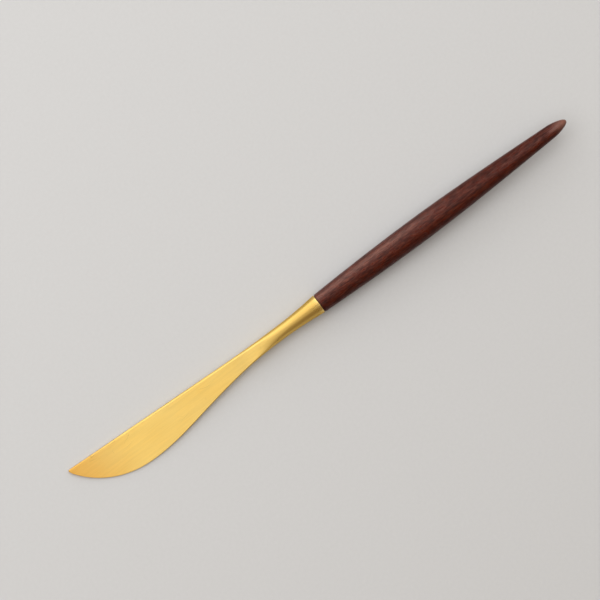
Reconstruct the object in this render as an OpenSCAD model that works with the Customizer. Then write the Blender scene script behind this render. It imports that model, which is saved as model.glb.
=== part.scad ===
// Table knife: a flat blade that narrows into a round neck and a flared collar, on a turned wooden handle.
// Sizes are in millimetres. The knife lies at rest on a flat top at height zero, with its blade on its side:
// +X runs from the tip to the butt, +Y towards the spine and +Z up.

/* [Blade] */
// Length of the forged metal, from the tip to the end of the collar
metal_len = 109.3; // [100:0.1:125]
// Height of the spine above the knife's axis at the tip
spine_rise = 5.7; // [4.5:0.05:7]
// Place, from the tip, where the line of the straight spine meets the side of the neck
spine_run = 76; // [66:0.5:80]
// Place, from the tip, of the deepest point of the cutting edge
belly_x = 29; // [24:0.5:36]
// Depth of the cutting edge below the knife's axis there
belly_depth = 9.65; // [7:0.05:12]
// Radius at the corner where the spine meets the tip
tip_round = 0.6; // [0.3:0.05:1.2]
// Thickness of the blade at its tip
tip_t = 1.2; // [0.9:0.05:1.8]
// Thickness along the cutting edge, at its deepest point
edge_t = 0.6; // [0.3:0.05:1]
// Thickness of the blade where its flat faces end, before the neck
heel_t = 2.7; // [2:0.05:3.6]
// Place, from the tip, where the flat faces end and the steel begins to swell into the neck
flat_end = 73; // [62:0.5:78]

/* [Neck and collar] */
// Place, from the tip, where the outline has narrowed to the width of the neck
neck_x = 88; // [86:0.5:91]
// Place, from the tip, where the last of the flat faces ends and the section is round
round_x = 96.5; // [93:0.5:97]
// Diameter of the neck
neck_d = 5.25; // [4.8:0.05:6.4]
// Place, from the tip, where the neck begins to flare
flare_x = 92; // [91.5:0.5:96]
// Diameter at the open end of the collar
collar_d = 7.4; // [7:0.05:9]
// Radius that breaks the collar's rim
rim_round = 0.25; // [0.1:0.05:0.5]
// Depth of the blind socket that takes the tang
socket_depth = 12; // [8:0.5:15]

/* [Tang] */
// Diameter of the steel rod, which is a press fit in the socket
tang_d = 4; // [3.2:0.1:4.2]
// Length of the rod inside the handle
tang_reach = 62; // [40:1:80]
// Chamfer on both ends of the rod
tang_chamfer = 0.4; // [0.2:0.05:0.8]
// Number of ring grooves that key the rod into the adhesive
groove_count = 6; // [2:1:9]
// Distance from one groove to the next
groove_pitch = 6; // [4:0.5:7]
// Width of one groove
groove_w = 1.2; // [1:0.1:2]
// Depth of one groove
groove_depth = 0.3; // [0.1:0.05:0.45]

/* [Handle] */
// Length of the wooden handle
handle_len = 112; // [100:0.5:130]
// Largest diameter of the handle
handle_d = 9.45; // [9:0.05:12]
// Length of the rounded end at the butt
butt_len = 7; // [5:0.5:12]
// Radius that breaks the handle's edge at the joint
front_round = 0.15; // [0.05:0.05:0.3]
// Depth to which the bore is drilled beyond the end of the rod
bore_spare = 2; // [1:0.5:6]

/* [Adhesive] */
// Gap round the rod that the adhesive fills
glue_gap = 0.15; // [0.05:0.05:0.3]
// Width of the joint between collar and handle
joint_gap = 0.2; // [0.1:0.05:0.5]
// Depth of the adhesive in the joint below the collar's rim
joint_sink = 0.3; // [0.2:0.05:0.6]

/* [Hidden] */
$fn = 96;

// Spine and cutting edge, as shares of the blade's own lengths and heights
spine_ease_share = 0.13;         // half the length over which the spine eases into the neck, of spine_run
belly_powers = [2.3, 0.82];      // roundness of the curve from the tip to the belly
edge_mid_share = [0.48, 0.54];   // place and height of the middle of the edge's return to the neck
edge_slope_share = 1.45;         // steepness there, of the straight way from the belly to the neck
tip_cut_share = 0.04;            // how much of the tip's radius its blunt end takes off
flare_power = 1.75;              // how late the neck's flare turns outwards

// Section across the blade
side_bulge_share = 1.25;         // radius of the spine's and edge's rounding, of half the thickness there
soft_end_share = 0.6;            // how far from flat_end to neck_x the corners of the flat faces have gone
round_power = 2.6;               // how late the flat faces narrow on their way to round_x
widest_angle = 80;               // angle up a side at which the top of a round section is closed
corner_share = 0.9;              // most of the half width that a rounded side takes
stations = 72;                   // sections along the blade
crowding = 1.7;                  // how much closer they stand near the tip
side_steps = 6;                  // points on each quarter of a side

// Turned form of the handle: place, radius and slope, as shares of its length and largest radius
handle_share = [[0, 0.79, 0.97], [0.39, 1, 0], [0.7, 0.815, -0.98], [1, 0.48, -1.12]];
butt_powers = [1.6, 0.45];       // roundness of the butt, which ends bluntly
turned_steps = 30;               // rings along the handle before the butt
butt_steps = 12;                 // rings round the butt
flare_steps = 16;                // rings along the flare
rim_steps = 4;                   // rings round a broken edge
drill_half_angle = 59;           // half the point angle of the drill that bores the handle

// How the knife lies: its weight is on the side of the cutting edge, so it leans that way
lean_angle = 3.75;
steepest_angle = 10;
rest_halvings = 24;

cut = 1;                         // overrun of a cut through an open face
seam_share = 0.004;              // how much wider the turned neck begins than the last section of the blade
neck_r = neck_d / 2;
collar_r = collar_d / 2;
handle_r = handle_d / 2;
tang_r = tang_d / 2;
bore_r = tang_r + glue_gap;
handle_x = metal_len + joint_gap;
bore_depth = tang_reach + bore_spare;

function mix(a, b, u) = a + (b - a) * u;

function ease(u) = let (v = min(max(u, 0), 1)) v * v * (3 - 2 * v);

// Height at place x of a smooth curve through knots of [place, height, slope]
function curve(knots, x, i = 0) =
    i < len(knots) - 2 && x > knots[i + 1][0]
        ? curve(knots, x, i + 1)
        : let (
            a = knots[i],
            b = knots[i + 1],
            span = b[0] - a[0],
            u = (x - a[0]) / span,
            s = 3 * u ^ 2 - 2 * u ^ 3
        )
        mix(a[1], b[1], s) + span * (a[2] * u * (1 - u) ^ 2 - b[2] * u ^ 2 * (1 - u));

// A round nose: 0 at its point, 1 where it meets the full section
function nose(u, powers) = u >= 1 ? 1 : (1 - (1 - u) ^ powers[0]) ^ powers[1];

// Rise of a quarter circle of radius one over the first part u of its width
function quarter(u) = u >= 1 ? 1 : sqrt(1 - (1 - u) ^ 2);

// Radius of the neck and of the flare that follows it, up to the broken rim
rim_x = metal_len - rim_round;
function neck_radius(x) =
    x < flare_x ? neck_r : mix(neck_r, collar_r, ((x - flare_x) / (rim_x - flare_x)) ^ flare_power);

// Spine: straight from the tip, then eased into the side of the neck
spine_slope = (spine_rise - neck_r) / spine_run;
spine_ease = spine_ease_share * spine_run;
spine_knots = [
    [0, spine_rise, -spine_slope],
    [spine_run - spine_ease, neck_r + spine_slope * spine_ease, -spine_slope],
    [spine_run + spine_ease, neck_r, 0]
];
function spine_y(x) =
    x > spine_run + spine_ease
        ? neck_radius(x)
        : curve(spine_knots, x) - tip_round * (1 - quarter(x / tip_round));

// Cutting edge: a full curve from the tip to the belly, then a long return to the neck
tip_y = spine_rise - tip_round;
edge_span = neck_x - belly_x;
edge_return = belly_depth - neck_r;
edge_knots = [
    [belly_x, -belly_depth, 0],
    [
        belly_x + edge_mid_share[0] * edge_span,
        edge_mid_share[1] * edge_return - belly_depth,
        edge_slope_share * edge_return / edge_span
    ],
    [neck_x, -neck_r, 0]
];
function edge_y(x) =
    x < belly_x ? tip_y - (tip_y + belly_depth) * nose(x / belly_x, belly_powers)
    : x < neck_x ? curve(edge_knots, x)
    : -neck_radius(x);

// Flat face: half the thickness is a plane over x and y, set by the thickness at three places
at_belly = [belly_x, -belly_depth - tip_y, (edge_t - tip_t) / 2];
at_heel = [flat_end, spine_y(flat_end) - tip_y, (heel_t - tip_t) / 2];
face_normal = cross(at_belly, at_heel);
function flat_h(x, y) =
    tip_t / 2 - (face_normal[0] * x + face_normal[1] * (y - tip_y)) / face_normal[2];

// Half thickness at any place on the blade, which swells to the neck and is round at the very tip
function half_t(x, y) =
    mix(flat_h(x, y), neck_radius(x), ease((x - flat_end) / (neck_x - flat_end))) * quarter(x / tip_round);

// One side of a section: an arc from below to above, set back from the outline at y0, inwards along dir
function side(x, y0, dir, half_w) =
    let (
        softness = ease((x - flat_end) / (soft_end_share * (neck_x - flat_end))),
        roundness = max((x - flat_end) / (round_x - flat_end), 0) ^ round_power,
        sharp = asin(1 / side_bulge_share),
        top = mix(sharp, widest_angle, softness),
        flat_depth = half_t(x, y0) * side_bulge_share * (1 - cos(sharp)),
        depth = min(mix(flat_depth, half_w * (1 - cos(widest_angle)), roundness), corner_share * half_w),
        height = half_t(x, y0 + dir * depth) * mix(1, sin(widest_angle), roundness)
    )
    [
        for (j = [-side_steps:side_steps])
            let (angle = top * j / side_steps)
            [x, y0 + dir * depth * (1 - cos(angle)) / (1 - cos(top)), height * sin(angle) / sin(top)]
    ];

function reversed(list) = [for (i = [len(list) - 1:-1:0]) list[i]];

// A whole section: up the spine's side, across the upper face, down the edge's side, back across below
function section(x) =
    let (
        top_y = spine_y(x),
        low_y = edge_y(x),
        half_w = (top_y - low_y) / 2,
        mid_y = (top_y + low_y) / 2,
        mid_h = half_t(x, mid_y)
    )
    concat(
        side(x, top_y, -1, half_w),
        [[x, mid_y, mid_h]],
        reversed(side(x, low_y, 1, half_w)),
        [[x, mid_y, -mid_h]]
    );

blade_sections = [
    for (i = [0:stations])
        section(mix(tip_cut_share * tip_round, round_x, (i / stations) ^ crowding))
];

// Rings of the neck and collar and of the handle, each as [radius, place]
collar_rings = concat(
    [[neck_radius(round_x) * (1 + seam_share), round_x]],
    [
        for (i = [1:flare_steps])
            let (x = mix(round_x, rim_x, i / flare_steps))
            [neck_radius(x), x]
    ],
    [
        for (i = [1:rim_steps])
            let (angle = 90 * i / rim_steps)
            [collar_r - rim_round * (1 - cos(angle)), metal_len - rim_round * (1 - sin(angle))]
    ]
);

handle_knots = [for (k = handle_share) [k[0] * handle_len, k[1] * handle_r, k[2] * handle_r / handle_len]];
function handle_ring(x) =
    [curve(handle_knots, x) * nose((handle_len - x) / butt_len, butt_powers), handle_x + x];
handle_rings = concat(
    [
        for (i = [0:rim_steps - 1])
            let (angle = 90 * i / rim_steps)
            handle_ring(front_round * (1 - cos(angle))) - [front_round * (1 - sin(angle)), 0]
    ],
    [for (i = [0:turned_steps]) handle_ring(mix(front_round, handle_len - butt_len, i / turned_steps))],
    [for (i = [1:butt_steps]) handle_ring(handle_len - butt_len * (1 - sin(90 * i / butt_steps)))]
);

// Rest: the tip and the handle's belly both touch the top
function leant(p) =
    [p[0], p[1] * cos(lean_angle) - p[2] * sin(lean_angle), p[1] * sin(lean_angle) + p[2] * cos(lean_angle)];
leant_blade = [for (s = blade_sections, p = s) leant(p)];
function pitched(p, pitch) =
    [p[0] * cos(pitch) - p[2] * sin(pitch), p[1], p[0] * sin(pitch) + p[2] * cos(pitch)];
function blade_low(pitch) = min([for (p = leant_blade) pitched(p, pitch)[2]]);
function handle_low(pitch) = min([for (r = handle_rings) pitched([r[1], 0, -r[0]], pitch)[2]]);
function rest_angle(low, high, halvings) =
    let (mid = (low + high) / 2)
    halvings == 0 ? mid
    : handle_low(mid) < blade_low(mid) ? rest_angle(mid, high, halvings - 1)
    : rest_angle(low, mid, halvings - 1);
rest_pitch = rest_angle(0, steepest_angle, rest_halvings);

// Middle of the resting knife's outline, which the origin is put under
rest_points = concat(
    [for (p = leant_blade) pitched(p, rest_pitch)],
    [for (r = handle_rings, way = [-1, 1]) pitched([r[1], way * r[0], r[0]], rest_pitch)],
    [for (r = handle_rings) pitched([r[1], 0, -r[0]], rest_pitch)]
);
function middle(values) = (min(values) + max(values)) / 2;
rest_middle = [
    middle([for (p = rest_points) p[0]]),
    middle([for (p = rest_points) p[1]]),
    blade_low(rest_pitch)
];

module at_rest() {
    translate(-rest_middle)
        rotate([lean_angle, -rest_pitch, 0])
            children();
}

// A solid turned round the knife's axis, from rings of [radius, place]
module turned(rings) {
    ends = [for (r = [rings[len(rings) - 1], rings[0]]) if (r[0] > 0) [0, r[1]]];
    rotate([0, 90, 0])
        rotate_extrude()
            polygon(concat(rings, ends));
}

module blade_loft() {
    ring = len(blade_sections[0]);
    last = len(blade_sections) - 1;
    polyhedron(
        points = [for (s = blade_sections, p = s) p],
        faces = concat(
            [[for (j = [0:ring - 1]) j]],
            [
                for (i = [0:last - 1], j = [0:ring - 1])
                    let (k = (j + 1) % ring)
                    [i * ring + k, i * ring + j, (i + 1) * ring + j, (i + 1) * ring + k]
            ],
            [reversed([for (j = [0:ring - 1]) last * ring + j])]
        )
    );
}

module blade() {
    color("#e8bf63")
        at_rest()
            difference() {
                union() {
                    blade_loft();
                    turned(collar_rings);
                }
                translate([metal_len - socket_depth, 0, 0])
                    rotate([0, 90, 0])
                        cylinder(r = tang_r, h = socket_depth + cut);
            }
}

// The bare rod with its grooves
module tang_rod() {
    start = metal_len - socket_depth;
    end = handle_x + tang_reach;
    first_groove = handle_x + (tang_reach - (groove_count - 1) * groove_pitch - groove_w) / 2;
    turned(concat(
        [[tang_r - tang_chamfer, start], [tang_r, start + tang_chamfer]],
        [
            for (i = [0:groove_count - 1])
                let (x = first_groove + i * groove_pitch, end = x + groove_w, bottom = tang_r - groove_depth)
                each [[tang_r, x], [bottom, x + groove_depth], [bottom, end - groove_depth], [tang_r, end]]
        ],
        [[tang_r, end - tang_chamfer], [tang_r - tang_chamfer, end]]
    ));
}

module tang() {
    color("#b9bbbd")
        at_rest()
            tang_rod();
}

// The drilled bore, which ends in the cone that the drill leaves
module bore_space() {
    turned([
        [bore_r, handle_x],
        [bore_r, handle_x + bore_depth],
        [0, handle_x + bore_depth + bore_r / tan(drill_half_angle)]
    ]);
}

module tang_adhesive() {
    film_r = min(collar_r, handle_rings[0][0]) - joint_sink;
    color("#2a1d16")
        at_rest()
            difference() {
                union() {
                    turned([[film_r, metal_len], [film_r, handle_x]]);
                    bore_space();
                }
                tang_rod();
            }
}

module handle() {
    color("#5a2d22")
        at_rest()
            difference() {
                turned(handle_rings);
                bore_space();
            }
}

blade();
tang();
tang_adhesive();
handle();
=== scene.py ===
import math
import bpy
import numpy as np
from mathutils import Matrix, Vector


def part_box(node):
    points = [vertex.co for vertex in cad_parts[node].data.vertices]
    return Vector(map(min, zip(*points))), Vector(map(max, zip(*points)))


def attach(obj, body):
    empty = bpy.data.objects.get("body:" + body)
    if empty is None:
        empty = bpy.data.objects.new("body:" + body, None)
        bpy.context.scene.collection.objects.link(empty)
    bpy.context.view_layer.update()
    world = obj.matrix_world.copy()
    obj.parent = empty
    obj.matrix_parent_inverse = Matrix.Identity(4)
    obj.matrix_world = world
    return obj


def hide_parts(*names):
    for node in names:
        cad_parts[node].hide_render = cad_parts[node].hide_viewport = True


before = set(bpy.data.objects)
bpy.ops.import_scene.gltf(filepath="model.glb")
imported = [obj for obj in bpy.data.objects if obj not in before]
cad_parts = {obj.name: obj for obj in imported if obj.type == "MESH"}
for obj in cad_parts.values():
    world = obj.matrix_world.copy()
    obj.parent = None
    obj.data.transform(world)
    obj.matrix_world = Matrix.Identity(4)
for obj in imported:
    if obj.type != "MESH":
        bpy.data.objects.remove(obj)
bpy.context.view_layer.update()        # the CAD model, in metres: +X tip to butt, +Y spine, +Z up
mm = 0.001
tiny = 1e-6              # millimetres: keeps a divisor above nought
sharpAngle = math.radians(50)    # edges bent more than this are shaded sharp
midNoise = (0.3, 0.7)    # nearly all values of a noise lie between these
rootBody = "root"
print("frame loaded:", ", ".join(sorted(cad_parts)))


# Small tools

def newObject(name, data):
    thing = bpy.data.objects.new(name, data)
    bpy.context.scene.collection.objects.link(thing)
    return thing


def mix(a, b, share):
    return a + (b - a) * share


def ease(value):
    v = min(max(value, 0.0), 1.0)
    return v * v * (3 - 2 * v)


def quarterRise(share):    # a quarter circle, over the first part of its width
    return 1.0 if share >= 1 else math.sqrt(1 - (1 - share) ** 2)


def noseRise(share, powers):    # 0 at the point of a round nose, 1 where it meets the full section
    return 1.0 if share >= 1 else (1 - (1 - share) ** powers[0]) ** powers[1]


def knotCurve(knots, x):    # a smooth curve through knots of (place, height, slope)
    i = 0
    while i < len(knots) - 2 and x > knots[i + 1][0]:
        i += 1
    (x0, y0, slope0), (x1, y1, slope1) = knots[i], knots[i + 1]
    span = x1 - x0
    u = (x - x0) / span
    return mix(y0, y1, ease(u)) + span * (slope0 * u * (1 - u) ** 2 - slope1 * u * u * (1 - u))


def smoothMin(a, b, width):    # the lower of two heights, with the crease between them eased over width
    near = max(width - abs(a - b), 0.0) / max(width, tiny)
    return min(a, b) - near * near * width / 4


# How the knife lies

knife = dict(
    metalLength=109.3,       # millimetres, from the tip to the end of the collar
    socketDepth=12.0,
    tangDiameter=4.0,
    tangReach=62.0,
    jointGap=0.2,
    rodEndBand=0.2,          # points this near to an end of the rod make up its last ring
    lean=3.75,               # degrees: the blade's weight turns the knife towards its cutting edge
)


def knifeToRest(s):
    # The rod inside the handle runs along the knife's axis, so its two ends give the axis.
    points = np.array([v.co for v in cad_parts["tang"].data.vertices])
    ends = []
    for sign in (1, -1):
        ring = points[points[:, 0] * sign < (points[:, 0] * sign).min() + s["rodEndBand"] * mm]
        middle = ring.mean(axis=0)
        spokes = ring - middle
        # The centre of the circle that the points lie on; rcond leaves out the way in which the ring is flat.
        squares = (spokes ** 2).sum(axis=1)
        centre = np.linalg.lstsq(2 * spokes, squares - squares.mean(), rcond=0.1)[0]
        ends.append(Vector(middle + centre))
    axis = (ends[1] - ends[0]).normalized()
    pitch = math.asin(axis.z)
    origin = ends[0] - axis * (s["metalLength"] - s["socketDepth"]) * mm
    turn = Matrix.Rotation(-pitch, 4, "Y") @ Matrix.Rotation(math.radians(s["lean"]), 4, "X")
    rodLength = (ends[1] - ends[0]).length / mm
    print(f"axis climbs {math.degrees(pitch):.3f} degrees, rod {rodLength:.2f} mm long")
    return Matrix.Translation(origin) @ turn @ Matrix.Scale(mm, 4)


toRest = knifeToRest(knife)


# Blade, neck and collar: one forging

blade = dict(
    spineRise=5.7,           # outline, in millimetres from the tip and from the knife's axis
    spineRun=76.0,
    spineEase=0.13,          # share of spineRun
    bellyPlace=29.0,
    bellyDepth=9.65,
    bellyPowers=(2.3, 0.82),
    edgeMiddle=(0.48, 0.54),
    edgeSlope=1.45,
    tipRound=0.6,
    tipCut=0.04,             # share of tipRound that the blunt end takes off
    tipThickness=1.2,
    edgeThickness=0.6,
    heelThickness=2.7,
    flatEnd=73.0,
    neckPlace=88.0,
    roundPlace=96.5,         # where the last of the flats ends and the section is round
    neckDiameter=5.25,
    flarePlace=92.0,
    flarePower=1.75,
    collarDiameter=7.4,
    rimRound=0.25,
    sideBulge=(1.25, 2.2),   # radius of the rounded spine and cutting edge, in half thicknesses
    softEnd=0.6,             # share of the way to the neck at which the corners of the flats have gone
    roundPower=4.0,          # how late the flats narrow on their way to roundPlace
    swellStart=79.0,         # where the flats begin to swell into a round
    crease=0.22,             # width over which the corner between side and flat is eased
    creaseShare=0.4,         # and the most of the half thickness that it may be
    cornerSpread=0.6,          # how far the mask for rubbing and painted light on a corner reaches, in depths of the corner
    rimCornerPower=20,         # how close to the rim that mask stays on the collar
    stations=340,
    crowding=1.7,
    sidePoints=15,           # points round each side, up to just past the corner
    sideReach=(2.2, 0.9),    # how far past: in depths of the corner, and at most in half widths
    flatPoints=8,            # points from there to the middle
    flareRings=40,
    rimRings=8,
    socketRings=4,
    fanSteps=(0.1, 1.0),     # millimetres of brush direction given to the fans that close tip and socket
    polishStart=64.0,        # from here to polishEnd the brushed finish gives way to one smoothed by polishing, also darkened as painted shade
    polishEnd=110.0,
)


def neckRadius(s, x):    # the neck, and the flare that follows it up to the broken rim
    flare = max(x - s["flarePlace"], 0.0) / (knife["metalLength"] - s["rimRound"] - s["flarePlace"])
    return mix(s["neckDiameter"] / 2, s["collarDiameter"] / 2, flare ** s["flarePower"])


def makeBladeShape(s):
    neckR = s["neckDiameter"] / 2
    slope = (s["spineRise"] - neckR) / s["spineRun"]
    easeLength = s["spineEase"] * s["spineRun"]
    spineKnots = [
        (0, s["spineRise"], -slope),
        (s["spineRun"] - easeLength, neckR + slope * easeLength, -slope),
        (s["spineRun"] + easeLength, neckR, 0),
    ]
    tipY = s["spineRise"] - s["tipRound"]
    edgeSpan = s["neckPlace"] - s["bellyPlace"]
    edgeReturn = s["bellyDepth"] - neckR
    edgeKnots = [
        (s["bellyPlace"], -s["bellyDepth"], 0),
        (
            s["bellyPlace"] + s["edgeMiddle"][0] * edgeSpan,
            s["edgeMiddle"][1] * edgeReturn - s["bellyDepth"],
            s["edgeSlope"] * edgeReturn / edgeSpan,
        ),
        (s["neckPlace"], -neckR, 0),
    ]

    def spineY(x):
        if x > s["spineRun"] + easeLength:
            return neckRadius(s, x)
        return knotCurve(spineKnots, x) - s["tipRound"] * (1 - quarterRise(x / s["tipRound"]))

    def edgeY(x):
        if x < s["bellyPlace"]:
            return tipY - (tipY + s["bellyDepth"]) * noseRise(x / s["bellyPlace"], s["bellyPowers"])
        return knotCurve(edgeKnots, x) if x < s["neckPlace"] else -neckRadius(s, x)

    # Each flat is a plane, set by the thickness at the tip, the belly and the heel.
    bellyRise = (s["edgeThickness"] - s["tipThickness"]) / 2
    heelRise = (s["heelThickness"] - s["tipThickness"]) / 2
    atBelly = Vector((s["bellyPlace"], -s["bellyDepth"] - tipY, bellyRise))
    atHeel = Vector((s["flatEnd"], spineY(s["flatEnd"]) - tipY, heelRise))
    faceNormal = atBelly.cross(atHeel)
    swell = s["neckPlace"] - s["flatEnd"]

    def flatHeight(x, y):
        plane = s["tipThickness"] / 2 - (faceNormal.x * x + faceNormal.y * (y - tipY)) / faceNormal.z
        swollen = mix(plane, neckRadius(s, x), ease((x - s["flatEnd"]) / swell))
        return swollen * quarterRise(x / s["tipRound"])

    def halfSection(x, outline, inwards, halfWidth, bulge):
        # Points from the outline to the middle as (y, height, mask), where the mask, for rubbing and painted
        # light, is 1 on the corner. A side is an arc, cut off by the flat. Towards the neck it grows wider
        # and softer, and the flat swells round.
        softness = ease((x - s["flatEnd"]) / (s["softEnd"] * swell))
        roundness = (max(x - s["flatEnd"], 0.0) / (s["roundPlace"] - s["flatEnd"])) ** s["roundPower"]
        lift = mix(bulge, 1.0, softness)
        sharpDepth = bulge * (1 - math.sqrt(1 - 1 / bulge ** 2)) * flatHeight(x, outline)
        corner = min(mix(sharpDepth, halfWidth, roundness), halfWidth)
        width = corner / (1 - math.sqrt(1 - 1 / lift ** 2))
        height = flatHeight(x, outline + inwards * corner)
        past = min(mix(s["sideReach"][0] * corner, corner, softness), halfWidth * s["sideReach"][1])
        crease = min(s["crease"], s["creaseShare"] * height) * (1 - softness)
        swollen = ease((x - s["swellStart"]) / (s["roundPlace"] - s["swellStart"]))
        middle = flatHeight(x, outline + inwards * halfWidth)
        sides, flats = s["sidePoints"], s["flatPoints"]
        inset = [past * (1 - math.cos(math.pi / 2 * i / sides)) for i in range(sides + 1)]
        inset += [mix(past, halfWidth, (i / flats) ** 2) for i in range(1, flats + 1)]
        points = []
        for w in inset:
            share = w / width
            rise = math.sqrt(1 - (1 - share) ** 2) if share < 1 else 1 + (share - 1) ** 2 / 2
            arc = height * lift * rise
            y = outline + inwards * w
            wearAndPaintedLight = math.exp(-((w - corner) / (s["cornerSpread"] * corner + tiny)) ** 2) * (1 - softness)
            turned = middle * math.sqrt(max(1 - (1 - w / halfWidth) ** 2, 0.0))
            points.append((y, mix(smoothMin(arc, flatHeight(x, y), crease), turned, swollen), wearAndPaintedLight))
        return points

    def section(x):
        top, low = spineY(x), edgeY(x)
        halfWidth = (top - low) / 2
        above = halfSection(x, top, -1, halfWidth, s["sideBulge"][0])
        below = halfSection(x, low, 1, halfWidth, s["sideBulge"][1])
        upper = above + below[-2::-1]                         # from the spine over the upper flat to the edge
        ring = upper + [(y, -z, w) for y, z, w in upper[-2:0:-1]]    # and back under the lower flat
        return [(x, y, z, w) for y, z, w in ring]

    return section


def bladeRings(s):
    # Closed rings of (x, y, z, mask for rubbing and painted light), from the tip over the collar's rim and
    # down into the socket
    section = makeBladeShape(s)
    rings = []
    for i in range(s["stations"] + 1):
        share = (i / s["stations"]) ** s["crowding"]
        rings.append(section(mix(s["tipCut"] * s["tipRound"], s["roundPlace"], share)))
    collarR = s["collarDiameter"] / 2
    spokes = [Vector((y, z)).normalized() for x, y, z, w in rings[-1]]
    end, rim, socketR = knife["metalLength"], s["rimRound"], knife["tangDiameter"] / 2
    profile = []
    for i in range(1, s["flareRings"] + 1):
        share = i / s["flareRings"]
        x = mix(s["roundPlace"], end - rim, share)
        profile.append((x, neckRadius(s, x), share ** s["rimCornerPower"]))
    for i in range(1, s["rimRings"] + 1):
        angle = math.pi / 2 * i / s["rimRings"]
        profile.append((end - rim * (1 - math.sin(angle)), collarR - rim * (1 - math.cos(angle)), 1.0))
    profile += [(end, mix(collarR - rim, socketR, 0.5), 0.0), (end, socketR, 0.0)]
    for i in range(1, s["socketRings"] + 1):
        profile.append((mix(end, end - knife["socketDepth"], i / s["socketRings"]), socketR, 0.0))
    for x, radius, wearAndPaintedLight in profile:
        rings.append([(x, spoke.x * radius, spoke.y * radius, wearAndPaintedLight) for spoke in spokes])
    return rings


def forgeBlade(s):
    rings = bladeRings(s)
    count = len(rings[0])
    tip = (s["tipCut"] * s["tipRound"], s["spineRise"] - s["tipRound"], 0.0, 1.0)
    floor = (knife["metalLength"] - knife["socketDepth"], 0.0, 0.0, 0.0)
    points = [tip] + [p for ring in rings for p in ring] + [floor]
    girths = []
    for ring in rings:
        steps = [math.dist(ring[j][:3], ring[(j + 1) % count][:3]) for j in range(count)]
        girths.append(np.concatenate([[0.0], np.cumsum(steps)]))
    strides = [math.dist(a[0][:3], b[0][:3]) for a, b in zip(rings, rings[1:])]
    along = np.concatenate([[0.0], np.cumsum(strides)])

    def spot(i, j):
        return girths[i][j], along[i]

    faces, places = [], []    # places: for each corner, mm round the section and mm along the knife
    for i in range(-1, len(rings)):
        for j in range(count):
            k = (j + 1) % count
            here, after = 1 + i * count, 1 + (i + 1) * count
            if i < 0:
                faces.append((0, after + k, after + j))
                places += [(girths[0][j], -s["fanSteps"][0]), spot(0, j + 1), spot(0, j)]
            elif i == len(rings) - 1:
                faces.append((here + j, here + k, len(points) - 1))
                places += [spot(i, j), spot(i, j + 1), (girths[i][j], along[i] + s["fanSteps"][1])]
            else:
                faces.append((here + j, here + k, after + k, after + j))
                places += [spot(i, j), spot(i, j + 1), spot(i + 1, j + 1), spot(i + 1, j)]

    mesh = bpy.data.meshes.new("bladeForging")
    mesh.from_pydata([p[:3] for p in points], [], faces)
    mesh.transform(toRest)
    polishSpan = s["polishEnd"] - s["polishStart"]
    wearAndPaintedLight = mesh.attributes.new("wearAndPaintedLight", "FLOAT", "POINT")
    wearAndPaintedLight.data.foreach_set("value", [p[3] for p in points])
    polishAndShade = mesh.attributes.new("polishAndShade", "FLOAT", "POINT")
    polishAndShade.data.foreach_set("value", [ease((p[0] - s["polishStart"]) / polishSpan) for p in points])
    brush = mesh.uv_layers.new(name="brushDirection")
    brush.data.foreach_set("uv", [value for place in places for value in place])
    mesh.shade_smooth()
    mesh.set_sharp_from_angle(angle=sharpAngle)
    print("blade forged:", len(mesh.vertices), "points,", len(mesh.polygons), "faces")
    return newObject("bladeForging", mesh)


# Nodes

def toLinear(hexColour):
    channels = [int(hexColour[i:i + 2], 16) / 255 for i in (1, 3, 5)]
    linear = [c / 12.92 if c <= 0.04045 else ((c + 0.055) / 1.055) ** 2.4 for c in channels]
    return (*linear, 1.0)


def addNode(tree, kind, inputs=None, **settings):
    node = tree.nodes.new(kind)
    for name, value in settings.items():
        setattr(node, name, value)
    for key, value in (inputs or {}).items():
        if isinstance(value, bpy.types.NodeSocket):
            tree.links.new(value, node.inputs[key])
        else:
            node.inputs[key].default_value = value
    return node


def calc(tree, operation, *values):
    return addNode(tree, "ShaderNodeMath", dict(enumerate(values)), operation=operation).outputs[0]


def remap(tree, value, source=(0.0, 1.0), result=(0.0, 1.0), kind="LINEAR"):
    ends = {1: source[0], 2: source[1], 3: result[0], 4: result[1]}
    return addNode(tree, "ShaderNodeMapRange", {0: value, **ends}, interpolation_type=kind).outputs[0]


def vector(tree, x, y, z):
    return addNode(tree, "ShaderNodeCombineXYZ", {0: x, 1: y, 2: z}).outputs[0]


# Handle: turned from one stick, as a lathe built with Geometry Nodes

handle = dict(
    length=112.0,            # millimetres
    diameter=9.45,
    knots=((0, 0.79, 0.97), (0.39, 1, 0), (0.7, 0.815, -0.98), (1, 0.48, -1.12)),    # in lengths and radii
    buttLength=7.0,
    buttPowers=(1.6, 0.45),
    frontRound=0.15,
    glueGap=0.15,            # between the rod and the bore
    boreSpare=2.0,
    drillHalfAngle=59.0,     # degrees
    boreRings=12,
    frontRings=8,
    rings=170,
    buttRings=36,
    around=128,
    weld=0.0005,             # points closer than this become one
    relief=0.018,            # deepest hollow that sanding leaves between the harder lines of the grain
    reliefAlong=0.04,        # steps of the hollows' pattern in a millimetre along the handle
    reliefAround=2.6,        # and the radius of the pattern round it, in steps
    reliefSkin=3.0,          # radius at which the relief is full; in the bore there is none
    seed=7,
    seedStep=3.7,
    # Painted highlight and painted shade on the handle: (degrees from the top towards the spine, half its
    # width, place, length, tone)
    paintedLight=(
        (34.0, 16.0, 10.0, 42.0, 1.15),
        (-52.0, 32.0, 60.0, 140.0, -0.8),
        (42.0, 38.0, 86.0, 32.0, -0.7),
        (4.0, 36.0, 109.0, 5.0, 1.05),
    ),
)


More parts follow.
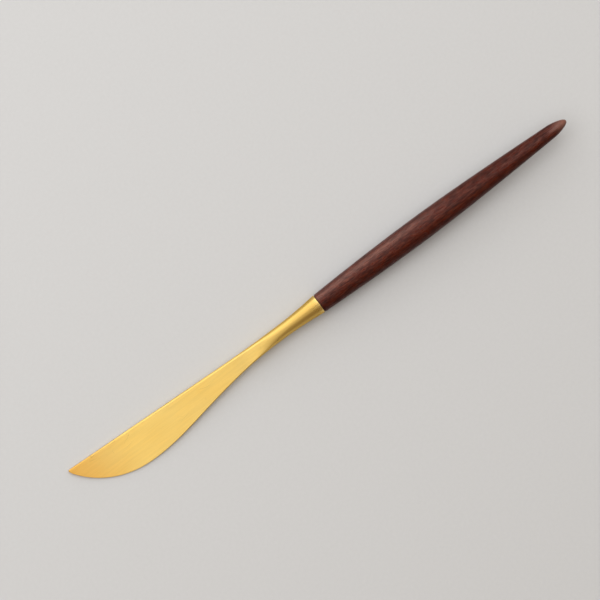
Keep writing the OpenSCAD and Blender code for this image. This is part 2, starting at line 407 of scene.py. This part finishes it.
def handleProfile(s):
    radius = s["diameter"] / 2
    knots = [(k[0] * s["length"], k[1] * radius, k[2] * radius / s["length"]) for k in s["knots"]]
    start = knife["metalLength"] + knife["jointGap"]
    bore = knife["tangDiameter"] / 2 + s["glueGap"]
    depth = knife["tangReach"] + s["boreSpare"]

    def turnedRadius(x):
        return knotCurve(knots, x) * noseRise((s["length"] - x) / s["buttLength"], s["buttPowers"])

    drillPoint = bore / math.tan(math.radians(s["drillHalfAngle"]))
    profile = [(depth + drillPoint, 0.0)]
    profile += [(mix(depth, 0, i / s["boreRings"]), bore) for i in range(s["boreRings"] + 1)]
    faceR = turnedRadius(0) - s["frontRound"]
    profile.append((0.0, mix(bore, faceR, 0.5)))
    for i in range(s["frontRings"] + 1):
        angle = math.pi / 2 * i / s["frontRings"]
        x = s["frontRound"] * (1 - math.cos(angle))
        profile.append((x, turnedRadius(x) - s["frontRound"] * (1 - math.sin(angle))))
    turnedEnd = s["length"] - s["buttLength"]
    for i in range(1, s["rings"] + 1):
        x = mix(s["frontRound"], turnedEnd, i / s["rings"])
        profile.append((x, turnedRadius(x)))
    for i in range(1, s["buttRings"] + 1):
        x = s["length"] - s["buttLength"] * (1 - math.sin(math.pi / 2 * i / s["buttRings"]))
        profile.append((x, turnedRadius(x)))
    profile[-1] = (profile[-1][0], 0.0)    # the butt closes on the axis
    return [(start + x, r, 0.0) for x, r in profile]


def latheTree(s, profileCount):
    tree = bpy.data.node_groups.new("turnOnLathe", "GeometryNodeTree")
    sockets = (
        ("Profile", "INPUT", "NodeSocketGeometry"),
        ("Around", "INPUT", "NodeSocketInt"),
        ("Relief", "INPUT", "NodeSocketFloat"),
        ("Bore Radius", "INPUT", "NodeSocketFloat"),
        ("Seed", "INPUT", "NodeSocketInt"),
        ("Material", "INPUT", "NodeSocketMaterial"),
        ("Turned", "OUTPUT", "NodeSocketGeometry"),
    )
    for name, direction, kind in sockets:
        tree.interface.new_socket(name=name, in_out=direction, socket_type=kind)
    given = addNode(tree, "NodeGroupInput").outputs
    columns = calc(tree, "ADD", given["Around"], 1.0)
    size = {"Vertices X": profileCount, "Vertices Y": columns}
    grid = addNode(tree, "GeometryNodeMeshGrid", size).outputs[0]
    index = addNode(tree, "GeometryNodeInputIndex").outputs[0]
    row = calc(tree, "FLOOR", calc(tree, "DIVIDE", index, columns))
    share = calc(tree, "DIVIDE", calc(tree, "MODULO", index, columns), given["Around"])
    angle = calc(tree, "MULTIPLY", share, 2 * math.pi)
    cosine, sine = calc(tree, "COSINE", angle), calc(tree, "SINE", angle)
    place = addNode(tree, "GeometryNodeInputPosition").outputs[0]
    sample = addNode(
        tree, "GeometryNodeSampleIndex", {"Geometry": given["Profile"], "Value": place, "Index": row},
        data_type="FLOAT_VECTOR", domain="POINT").outputs[0]
    profile = addNode(tree, "ShaderNodeSeparateXYZ", {0: sample}).outputs

    # Sanding wears the soft wood between the hard lines: a hollow that follows long fibres, outside only.
    steps = (s["reliefAlong"], s["reliefAround"], s["reliefAround"])
    scaled = [calc(tree, "MULTIPLY", value, step) for value, step in zip((profile[0], cosine, sine), steps)]
    fibres = vector(tree, *scaled)
    seedShift = calc(tree, "MULTIPLY", given["Seed"], s["seedStep"])
    pattern = {"Vector": fibres, "W": seedShift, "Scale": 1.0, "Detail": 4.0}
    hollow = addNode(tree, "ShaderNodeTexNoise", pattern, noise_dimensions="4D").outputs[0]
    outside = remap(tree, profile[1], (given["Bore Radius"], s["reliefSkin"]), (0.0, given["Relief"]))
    radius = calc(tree, "SUBTRACT", profile[1], calc(tree, "MULTIPLY", hollow, outside))
    y, z = (calc(tree, "MULTIPLY", radius, part) for part in (cosine, sine))
    turned = vector(tree, profile[0], y, z)

    shape = grid
    for kind, key, more in (
        ("SetPosition", "Geometry", {"Position": turned}),
        ("MergeByDistance", "Geometry", {"Distance": s["weld"]}),
        ("FlipFaces", "Mesh", {}),    # so that they look outwards
        ("SetShadeSmooth", "Geometry", {}),
        ("RealizeInstances", "Geometry", {}),
        ("SetMaterial", "Geometry", {"Material": given["Material"]}),
    ):
        shape = addNode(tree, "GeometryNode" + kind, {key: shape, **more}).outputs[0]
    addNode(tree, "NodeGroupOutput", {0: shape})
    return tree


def paintedLightTone(s, point):    # how much painted highlight, or painted shade below 0, lies at a point of the handle
    x, y, z = point
    tone = 0.0
    for heading, spread, place, length, strength in s["paintedLight"]:
        away = (math.degrees(math.atan2(y, z)) - heading + 180) % 360 - 180
        past = (x - knife["metalLength"] - place) / length
        tone += strength * math.exp(-(away / spread) ** 2 - past ** 4)
    return tone


def turnHandle(s, wood):
    profile = handleProfile(s)
    line = bpy.data.meshes.new("handleProfile")
    line.from_pydata(profile, [(i, i + 1) for i in range(len(profile) - 1)], [])
    lathe = newObject("handleLathe", line)
    tree = latheTree(s, len(profile))
    modifier = lathe.modifiers.new("lathe", "NODES")
    modifier.node_group = tree
    values = {
        "Around": s["around"], "Relief": s["relief"], "Seed": s["seed"], "Material": wood,
        "Bore Radius": knife["tangDiameter"] / 2 + s["glueGap"],
    }
    for item in tree.interface.items_tree:
        if item.in_out == "INPUT" and item.name in values:
            modifier[item.identifier] = values[item.name]
    bpy.context.view_layer.update()
    turned = lathe.evaluated_get(bpy.context.evaluated_depsgraph_get())
    mesh = bpy.data.meshes.new_from_object(turned)
    mesh.name = "handleTurning"
    paintedLight = mesh.attributes.new("paintedLight", "FLOAT", "POINT")
    paintedLight.data.foreach_set("value", [paintedLightTone(s, vertex.co) for vertex in mesh.vertices])
    bpy.data.objects.remove(lathe)
    bpy.data.meshes.remove(line)
    mesh.transform(toRest)
    mesh.set_sharp_from_angle(angle=sharpAngle)
    print("handle turned:", len(mesh.vertices), "points,", len(mesh.polygons), "faces")
    return newObject("handleTurning", mesh)


# Materials. Patterns read Object coordinates, scaled so that one unit is the pattern's own size.

def newMaterial(name):
    material = bpy.data.materials.new(name)
    material.use_nodes = True
    material.node_tree.nodes.clear()
    return material, material.node_tree


def finishMaterial(material, inputs):
    tree = material.node_tree
    surface = addNode(tree, "ShaderNodeBsdfPrincipled", inputs).outputs[0]
    addNode(tree, "ShaderNodeOutputMaterial", {"Surface": surface})
    return material


def blend(tree, share, first, second):    # from one colour to another, each a socket or an sRGB hex string
    colours = [toLinear(colour) if isinstance(colour, str) else colour for colour in (first, second)]
    inputs = {0: share, 6: colours[0], 7: colours[1]}
    return addNode(tree, "ShaderNodeMix", inputs, data_type="RGBA").outputs[2]


def scaleColour(tree, colour, shade):
    return addNode(tree, "ShaderNodeVectorMath", {0: colour, 3: shade}, operation="SCALE").outputs[0]


def bump(tree, height, depth, strength=1.0):    # depth in millimetres
    inputs = {"Height": height, "Distance": depth * mm, "Strength": strength}
    return addNode(tree, "ShaderNodeBump", inputs).outputs[0]


def attribute(tree, name):
    return addNode(tree, "ShaderNodeAttribute", attribute_name=name).outputs["Fac"]


def stretched(tree, along, across, shift=(0.0, 0.0, 0.0), turn=0.0):
    # Object coordinates with one unit of `along` mm on X and of `across` mm on Y and Z, turned about Z
    place = addNode(tree, "ShaderNodeTexCoord").outputs["Object"]
    if turn:
        place = addNode(tree, "ShaderNodeVectorRotate", {"Vector": place, "Angle": math.radians(turn)},
                        rotation_type="Z_AXIS").outputs[0]
    scale = (1 / (along * mm), 1 / (across * mm), 1 / (across * mm))
    return addNode(tree, "ShaderNodeMapping", {"Vector": place, "Scale": scale, "Location": shift}).outputs[0]


def metresAlong(tree):
    place = addNode(tree, "ShaderNodeTexCoord").outputs["Object"]
    return addNode(tree, "ShaderNodeSeparateXYZ", {0: place}).outputs[0]


def noise(tree, place, detail=3.0, roughness=0.5):
    inputs = {"Vector": place, "Scale": 1.0, "Detail": detail, "Roughness": roughness}
    return addNode(tree, "ShaderNodeTexNoise", inputs).outputs[0]


gold = dict(
    # towards the collar the colour is partly the deeper gold of polishing and partly painted shade; the rim's
    # colour is a painted highlight
    bright="#F3D580", warm="#F3D177", tip="#D19136", polishedAndShaded="#D1AE5E", paintedRimHighlight="#EBCB82",
    tipTint=25.0, tipShare=0.57,             # length over which the tip is warmer, and how much
    brushedRoughness=0.5, polishedRoughness=0.3,
    lineRoughness=0.04, cloudRoughness=0.03, wearRoughness=-0.06,    # what each adds at the most
    brushLength=26.0, brushWidth=0.16,       # millimetres; real lines are near 0.04, too fine to show
    brushRange=(0.25, 0.75),
    brushDepth=0.0006,
    streakLength=34.0, streakWidth=0.75, streakShade=(0.95, 1.04),
    cloudSize=9.0, cloudStretch=1.6,
    scratchLength=14.0, scratchSpacing=2.6,
    scratchSets=((9.0, 0.0), (-14.0, 21.0)),    # degrees off the brushing, and a shift of the pattern
    scratchWidth=0.008,                      # in values of the noise whose middle line a scratch follows
    scratchPatch=7.0, scratchPatchRange=(0.56, 0.66),
    scratchShade=0.72, scratchCut=-1.2,
    # painted shade on the corners, which dims their highlight
    paintedCornerShade=0.97,
    anisotropy=0.2,
    edgeTint=(0.95, 0.76, 0.45, 1.0),        # linear: reflections seen at a slant
)


def hairScratches(s, tree):
    # Broken hairlines: each follows the middle value of a stretched noise, where a second noise lets it show.
    scratches = None
    for turn, shift in s["scratchSets"]:
        place = stretched(tree, s["scratchLength"], s["scratchSpacing"], shift=(shift, shift, 0), turn=turn)
        level = calc(tree, "ABSOLUTE", calc(tree, "SUBTRACT", noise(tree, place, detail=0.0), 0.5))
        hair = remap(tree, level, (0.0, s["scratchWidth"]), (1.0, 0.0))
        place = stretched(tree, s["scratchPatch"], s["scratchPatch"], shift=(shift + 4, 9, 1))
        patch = remap(tree, noise(tree, place, detail=1.0), s["scratchPatchRange"])
        hair = calc(tree, "MULTIPLY", hair, patch)
        scratches = hair if scratches is None else calc(tree, "MAXIMUM", scratches, hair)
    return scratches


def brushedGoldSteel(s):
    # Stainless steel brushed lengthwise, then coated with a gold-coloured nitride by vapour deposition:
    # satin, with faint clouds and hairline scratches, smoothed by polishing towards the collar and warmer at
    # the tip.
    # Towards the collar the colour also deepens, partly as gold that polishing deepens and partly as painted
    # shade;
    # the corners carry a little painted shade, and the rim a painted highlight.
    material, tree = newMaterial("brushedGoldNitrideSteel")
    lines = noise(tree, stretched(tree, s["brushLength"], s["brushWidth"]), roughness=0.6)
    place = stretched(tree, s["streakLength"], s["streakWidth"], shift=(3.1, 7.7, 1.9))
    streaks = noise(tree, place, detail=4.0, roughness=0.62)
    place = stretched(tree, s["cloudSize"] * s["cloudStretch"], s["cloudSize"], shift=(11.0, 2.0, 5.0))
    clouds = noise(tree, place, roughness=0.55)
    scratches = hairScratches(s, tree)
    wearAndPaintedLight, polishAndShade = attribute(tree, "wearAndPaintedLight"), attribute(tree, "polishAndShade")

    colour = blend(tree, remap(tree, clouds, midNoise), s["warm"], s["bright"])
    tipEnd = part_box("blade")[0].x
    nearTip = remap(tree, metresAlong(tree), (tipEnd, tipEnd + s["tipTint"] * mm), (s["tipShare"], 0.0))
    colour = blend(tree, nearTip, colour, s["tip"])
    # painted shade: towards the collar the colour deepens, partly as the deeper gold of polishing
    colour = blend(tree, polishAndShade, colour, s["polishedAndShaded"])
    # painted highlight: the rim, and corners near the neck, turn paler
    colour = blend(tree, calc(tree, "MULTIPLY", wearAndPaintedLight, polishAndShade), colour, s["paintedRimHighlight"])
    shade = remap(tree, streaks, midNoise, s["streakShade"])
    # painted shade dims the corners; scratches are darkened where they are cut
    for pattern, least in ((scratches, s["scratchShade"]), (wearAndPaintedLight, s["paintedCornerShade"])):
        shade = calc(tree, "MULTIPLY", shade, remap(tree, pattern, result=(1.0, least)))
    colour = scaleColour(tree, colour, shade)

    rough = remap(tree, polishAndShade, result=(s["brushedRoughness"], s["polishedRoughness"]))
    for part in (
        remap(tree, lines, s["brushRange"], (-s["lineRoughness"], s["lineRoughness"])),
        remap(tree, clouds, midNoise, (s["cloudRoughness"], -s["cloudRoughness"])),
        calc(tree, "MULTIPLY", wearAndPaintedLight, s["wearRoughness"]),
    ):
        rough = calc(tree, "ADD", rough, part)

    relief = calc(tree, "ADD", lines, streaks)
    relief = calc(tree, "ADD", relief, calc(tree, "MULTIPLY", scratches, s["scratchCut"]))
    tangent = addNode(tree, "ShaderNodeTangent", direction_type="UV_MAP", uv_map="brushDirection").outputs[0]
    return finishMaterial(material, {
        "Base Color": colour, "Metallic": 1.0, "Roughness": rough, "Anisotropic": s["anisotropy"],
        "Specular Tint": s["edgeTint"], "Normal": bump(tree, relief, s["brushDepth"]), "Tangent": tangent})


rosewood = dict(
    # the last two colours are painted highlights: one on the butt end, one where the handle's painted
    # highlights lie
    dark="#300E08", middle="#49180B", light="#692F1B", red="#54160C", buttHighlight="#A6796C", paintedHighlight="#854F3D",
    bandWidth=1.1,                           # millimetres across the layers of growth
    bandHeading=(0.022, 0.82, 0.57),         # and the way across them
    warpLength=30.0, warpWidth=5.0, warpDepth=3.0,    # how the layers wander
    fibreLength=3.2, fibreWidth=0.34,
    poreLength=2.2, poreWidth=0.24,          # a little coarser than real pores, so that they show
    poreRange=(0.16, 0.36),                  # distance from a cell's middle over which its pore fades
    porousBands=(0.45, 0.6), poreLeast=0.25,
    mottleLength=3.0, mottleWidth=1.5,
    toneShares=(0.2, 0.45, 0.35),            # of the layers, the fibres and the mottle in light and dark
    toneStops=(0.38, 0.5, 0.62),
    redRange=(0.42, 0.68), redShare=0.4,
    buttHighlightLength=7.0, buttHighlightShare=0.55,
    poreShade=0.55,
    paintedLightDepth=0.5,
    paintedLightRange=(0.4, 0.62), paintedLightLeast=0.35,    # fibres break up the painted highlight and shade
    lustreSlope=3.0, lustreShift=-1.5,       # how the fibres vary the sheen
    sheen=(0.15, 0.85),                      # specular level where the painted shade is strongest, and where the painted highlight is
    mottleRange=(0.35, 0.65), roughness=(0.44, 0.24), poreRoughness=0.25,
    poreDepth=0.045, ridgeShare=0.5, bumpStrength=0.8,
    ior=1.35,
)


def oiledRosewood(s):
    # Rosewood, turned, sanded and oiled: close lines and open pores along the handle, a soft sheen that the
    # pores break up, painted highlights and painted shade along its sides, and a painted highlight that makes
    # the butt paler and redder.
    material, tree = newMaterial("oiledRosewood")
    place = stretched(tree, 1.0, 1.0)        # millimetres
    across = addNode(tree, "ShaderNodeVectorMath", {0: place, 1: s["bandHeading"]},
                     operation="DOT_PRODUCT").outputs[1]
    warp = noise(tree, stretched(tree, s["warpLength"], s["warpWidth"]), detail=2.0)
    layer = calc(tree, "ADD", across, calc(tree, "MULTIPLY", warp, s["warpDepth"]))
    layer = calc(tree, "DIVIDE", layer, s["bandWidth"])
    bands = addNode(tree, "ShaderNodeTexNoise", {"W": layer, "Scale": 1.0, "Detail": 3.0, "Roughness": 0.6},
                    noise_dimensions="1D").outputs[0]
    place = stretched(tree, s["fibreLength"], s["fibreWidth"], shift=(0, 3.0, 8.0))
    fibres = noise(tree, place, detail=4.0, roughness=0.65)
    place = stretched(tree, s["poreLength"], s["poreWidth"])
    cells = addNode(tree, "ShaderNodeTexVoronoi", {"Vector": place, "Scale": 1.0, "Randomness": 1.0})
    pores = remap(tree, cells.outputs["Distance"], s["poreRange"], (1.0, 0.0), "SMOOTHSTEP")
    pores = calc(tree, "MULTIPLY", pores, remap(tree, bands, s["porousBands"], (1.0, s["poreLeast"])))
    place = stretched(tree, s["mottleLength"], s["mottleWidth"], shift=(5, 1, 2))
    mottle = noise(tree, place, roughness=0.6)

    tone = None
    for pattern, share in zip((bands, fibres, mottle), s["toneShares"]):
        part = calc(tree, "MULTIPLY", pattern, share)
        tone = part if tone is None else calc(tree, "ADD", tone, part)
    ramp = addNode(tree, "ShaderNodeValToRGB", {0: tone})
    stops = ramp.color_ramp.elements
    stops.new(s["toneStops"][1])
    for stop, position, name in zip(stops, s["toneStops"], ("dark", "middle", "light")):
        stop.position = position
        stop.color = toLinear(s[name])
    colour = blend(tree, remap(tree, mottle, s["redRange"], (0.0, s["redShare"])), ramp.outputs[0], s["red"])
    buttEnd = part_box("handle")[1].x
    # painted highlight: the butt end turns paler and redder
    buttHighlightPlaces = (buttEnd - s["buttHighlightLength"] * mm, buttEnd)
    buttHighlight = remap(tree, metresAlong(tree), buttHighlightPlaces, (0.0, s["buttHighlightShare"]), "SMOOTHSTEP")
    colour = blend(tree, buttHighlight, colour, s["buttHighlight"])

    # painted highlight and painted shade from the handle's attribute: paler colour and more sheen where it is
    # above 0, the colour dimmed where it is below
    paintedLight = attribute(tree, "paintedLight")
    lustre = calc(tree, "MULTIPLY_ADD", fibres, s["lustreSlope"], s["lustreShift"])
    sheen = remap(tree, calc(tree, "ADD", paintedLight, lustre), (-1.0, 1.0), s["sheen"])
    paintedLight = calc(tree, "MULTIPLY", paintedLight, remap(tree, fibres, s["paintedLightRange"], (s["paintedLightLeast"], 1.0)))
    colour = blend(tree, remap(tree, paintedLight, result=(0.0, s["paintedLightDepth"])), colour, s["paintedHighlight"])
    paintedShade = remap(tree, paintedLight, (-1.0, 0.0), (1 - s["paintedLightDepth"], 1.0))
    shade = calc(tree, "MULTIPLY", remap(tree, pores, result=(1.0, s["poreShade"])), paintedShade)
    colour = scaleColour(tree, colour, shade)

    rough = remap(tree, mottle, s["mottleRange"], s["roughness"])
    rough = calc(tree, "ADD", rough, calc(tree, "MULTIPLY", pores, s["poreRoughness"]))
    relief = calc(tree, "MULTIPLY", pores, -1.0)
    relief = calc(tree, "ADD", relief, calc(tree, "MULTIPLY", fibres, s["ridgeShare"]))
    return finishMaterial(material, {
        "Base Color": colour, "Roughness": rough, "IOR": s["ior"], "Specular IOR Level": sheen,
        "Normal": bump(tree, relief, s["poreDepth"], s["bumpStrength"])})


rod = dict(light="#BCBDBD", dark="#9FA1A3", lineSize=0.2, lineStretch=60, roughness=(0.26, 0.42), depth=0.004)


def turnedSteel(s):
    # Plain stainless bar, turned on a lathe: fine rings round it, so the lines lie across the rod.
    material, tree = newMaterial("turnedStainlessSteel")
    rings = noise(tree, stretched(tree, s["lineSize"], s["lineSize"] * s["lineStretch"]))
    return finishMaterial(material, {
        "Base Color": blend(tree, rings, s["dark"], s["light"]), "Metallic": 1.0,
        "Roughness": remap(tree, rings, midNoise, s["roughness"]), "Normal": bump(tree, rings, s["depth"])})


glue = dict(dark="#2C170F", light="#48291C", grainSize=0.5, roughness=(0.4, 0.6), depth=0.02, ior=1.55)


def darkEpoxy(s):
    # Dark brown two-part epoxy, wiped off flush: a dull glassy line with faint dust in it.
    material, tree = newMaterial("darkEpoxy")
    grain = noise(tree, stretched(tree, s["grainSize"], s["grainSize"]), detail=4.0)
    return finishMaterial(material, {
        "Base Color": blend(tree, grain, s["dark"], s["light"]), "IOR": s["ior"],
        "Roughness": remap(tree, grain, midNoise, s["roughness"]), "Normal": bump(tree, grain, s["depth"])})


# Floor, lamps and camera

studio = dict(
    floorColour="#CACDD0", floorBounce="#454443", floorGrain="#C5C8CB",
    floorGrainSize=1.2,                      # millimetres
    floorRoughness=0.8, floorIor=1.45,
    floorRadius=1.6,                         # metres
    floorCorners=96,
    worldColour="#FFE9D0", worldLevel=0.357,
    # Each lamp: (degrees from overhead towards +X and +Y), distance, (size along X, across it), level
    lamps=dict(
        keySheet=((0.0, 45.0), 0.82, (1.9, 1.5), 0.76),
        keyCore=((-28.0, 52.0), 0.8, (0.95, 1.0), 0.5),
        lowStrip=((0.0, 64.0), 0.78, (1.3, 0.3), 0.29),
        topSheet=((0.0, -15.0), 1.0, (1.4, 0.48), 0.4),
        tipCard=((-40.0, 4.0), 0.8, (0.4, 0.8), 1.35),
        buttCard=((30.0, 4.0), 0.8, (0.4, 0.8), 1.2),
    ),
)


def paleFloor(s):
    # A sheet of matt board. What it bounces onto the object is kept low, as the photograph's dark table does.
    material, tree = newMaterial("paleBoard")
    grain = noise(tree, stretched(tree, s["floorGrainSize"], s["floorGrainSize"]))
    seen = blend(tree, grain, s["floorGrain"], s["floorColour"])
    path = addNode(tree, "ShaderNodeLightPath").outputs
    direct = calc(tree, "MAXIMUM", path["Is Camera Ray"], path["Is Glossy Ray"])
    direct = calc(tree, "MAXIMUM", direct, path["Is Transmission Ray"])
    colour = blend(tree, direct, s["floorBounce"], seen)
    return finishMaterial(material, {
        "Base Color": colour, "Roughness": s["floorRoughness"], "IOR": s["floorIor"]})


def layFloor(s):
    mesh = bpy.data.meshes.new("floor")
    count, radius = s["floorCorners"], s["floorRadius"]
    angles = [2 * math.pi * i / count for i in range(count)]
    corners = [(radius * math.cos(angle), radius * math.sin(angle), 0) for angle in angles]
    mesh.from_pydata(corners, [], [tuple(range(count))])
    mesh.materials.append(paleFloor(s))
    floor = newObject("floor", mesh)


def addLamp(name, lean, distance, size, level):
    # A white sheet that faces the knife. Seen in a mirror, it would have this level.
    light = bpy.data.lights.new(name, "AREA")
    light.shape = "RECTANGLE"
    light.size, light.size_y = size
    light.energy = level * math.pi * size[0] * size[1]
    lamp = newObject(name, light)
    towardsX, towardsY = (math.radians(angle) for angle in lean)
    turn = Matrix.Rotation(towardsX, 3, "Y") @ Matrix.Rotation(-towardsY, 3, "X")
    lamp.matrix_world = Matrix.Translation(turn @ Vector((0, 0, distance))) @ turn.to_4x4()
    lamp.visible_camera = False


def lightStudio(s):
    for name, values in s["lamps"].items():
        addLamp(name, *values)
    world = bpy.data.worlds.new("studio")
    world.use_nodes = True
    world.node_tree.nodes.clear()
    glow = addNode(world.node_tree, "ShaderNodeBackground", {
        "Color": toLinear(s["worldColour"]), "Strength": s["worldLevel"]})
    addNode(world.node_tree, "ShaderNodeOutputWorld", {"Surface": glow.outputs[0]})
    bpy.context.scene.world = world


camera = dict(
    target=(-6.215, 7.232, 3.5),             # millimetres
    turn=36.561,                             # degrees by which the knife climbs in the picture
    elevation=84.5,
    distance=1000.0,
    lens=164.846,                            # for the usual 36 mm wide picture
    clip=(0.01, 20),                         # metres
)


def placeCamera(s):
    turn, elevation = math.radians(s["turn"]), math.radians(s["elevation"])
    right = Vector((math.cos(turn), -math.sin(turn), 0))
    level = Vector((math.sin(turn), math.cos(turn), 0))
    back = -level * math.cos(elevation) + Vector((0, 0, 1)) * math.sin(elevation)
    up = back.cross(right)
    place = Vector(s["target"]) * mm + back * s["distance"] * mm
    data = bpy.data.cameras.new("photoCamera")
    data.lens = s["lens"]
    data.clip_start, data.clip_end = s["clip"]
    view = newObject("photoCamera", data)
    view.matrix_world = Matrix.Translation(place) @ Matrix((right, up, back)).transposed().to_4x4()
    bpy.context.scene.camera = view


# Make and dress the pieces

placeCamera(camera)
layFloor(studio)
lightStudio(studio)
bpy.context.scene.view_settings.view_transform = "Standard"
print("studio ready")

bladeForging = forgeBlade(blade)
bladeForging.data.materials.append(brushedGoldSteel(gold))
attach(bladeForging, rootBody)
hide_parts("blade")

handleTurning = turnHandle(handle, oiledRosewood(rosewood))
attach(handleTurning, rootBody)
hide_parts("handle")

for nodeName, material in (("tang", turnedSteel(rod)), ("tang_adhesive", darkEpoxy(glue))):
    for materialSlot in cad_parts[nodeName].material_slots:
        materialSlot.material = material
print("pieces dressed")
